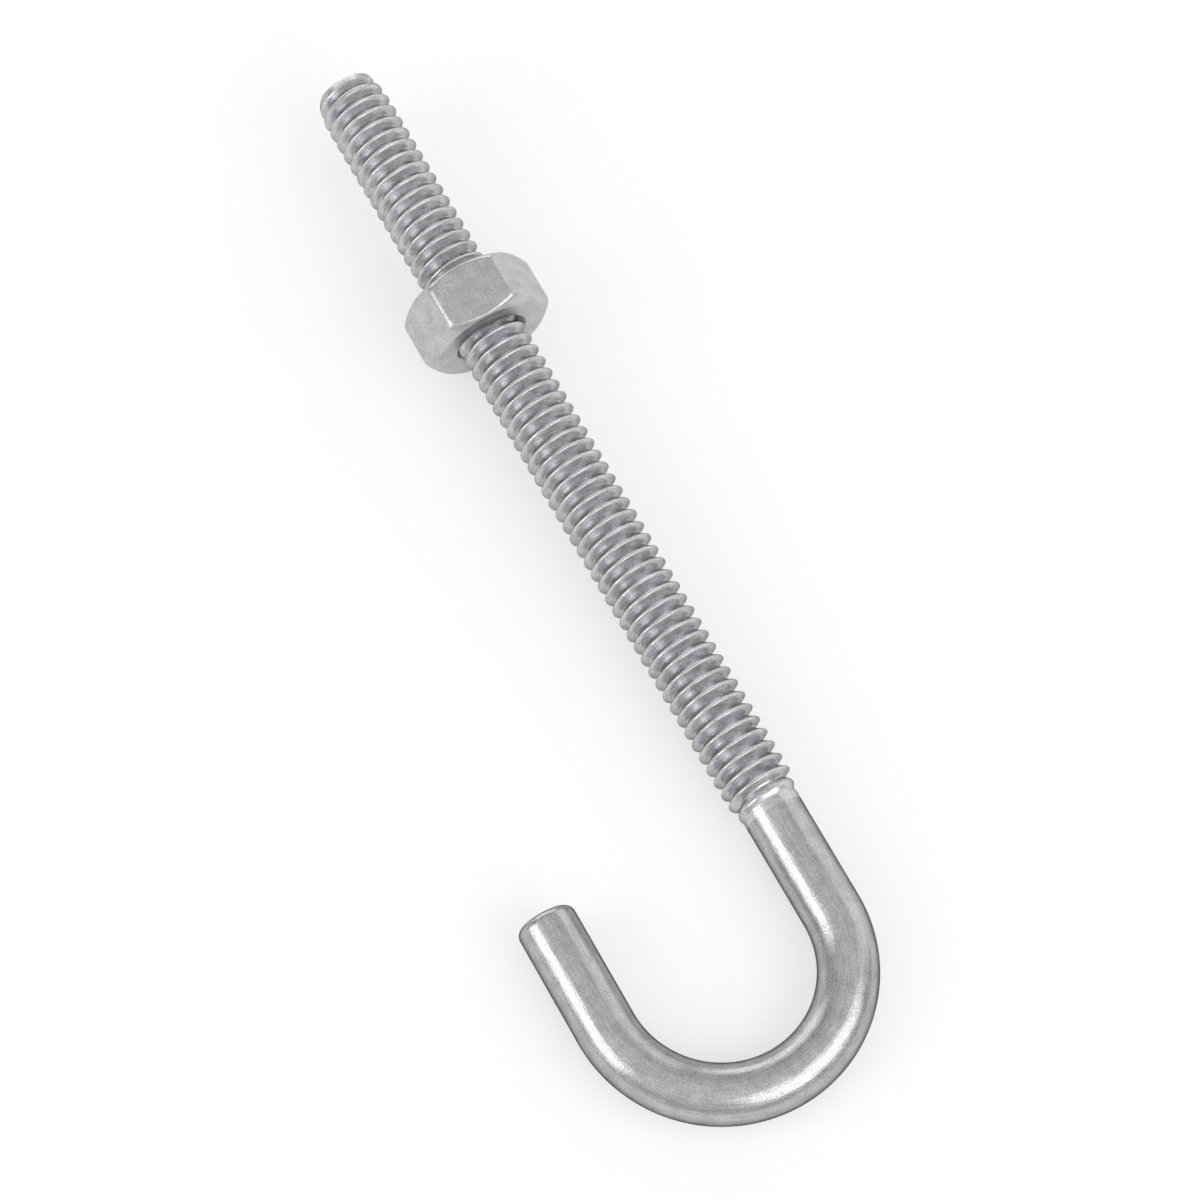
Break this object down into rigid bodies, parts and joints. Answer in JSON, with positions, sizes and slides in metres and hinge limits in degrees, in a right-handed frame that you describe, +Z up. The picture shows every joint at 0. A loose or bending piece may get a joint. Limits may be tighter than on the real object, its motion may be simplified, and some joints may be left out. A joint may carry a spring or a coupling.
{
  "type": "j bolt",
  "caption": "Threaded steel rod whose plain end turns back in a round hook, with a hexagon nut on the thread, for clamping something to a bar or an edge.",
  "frame": {"origin": "centre of the thread's end face", "axes": "+Y along the shank towards the hook, which dips about 2.5 degrees as it rests on the nut and the bend; +X towards the hook's leg; +Z up"},
  "size_m": [0.0306, 0.1011, 0.0117],
  "materials": {
    "bolt_zinc": "bright zinc plating on rolled and drawn steel, finely mottled",
    "nut_zinc": "bright zinc plating on a cold-formed nut, edges worn bright"
  },
  "bodies": {
    "bolt": {"j_bolt": "bolt_zinc"},
    "nut": {"hex_nut": "nut_zinc"}
  },
  "joints": [
    {"name": "nut_travel", "type": "slide", "parent": "bolt", "child": "nut", "axis": [0, 0.9991, -0.0435], "range_m": [-0.02159, 0.04699]}
  ]
}
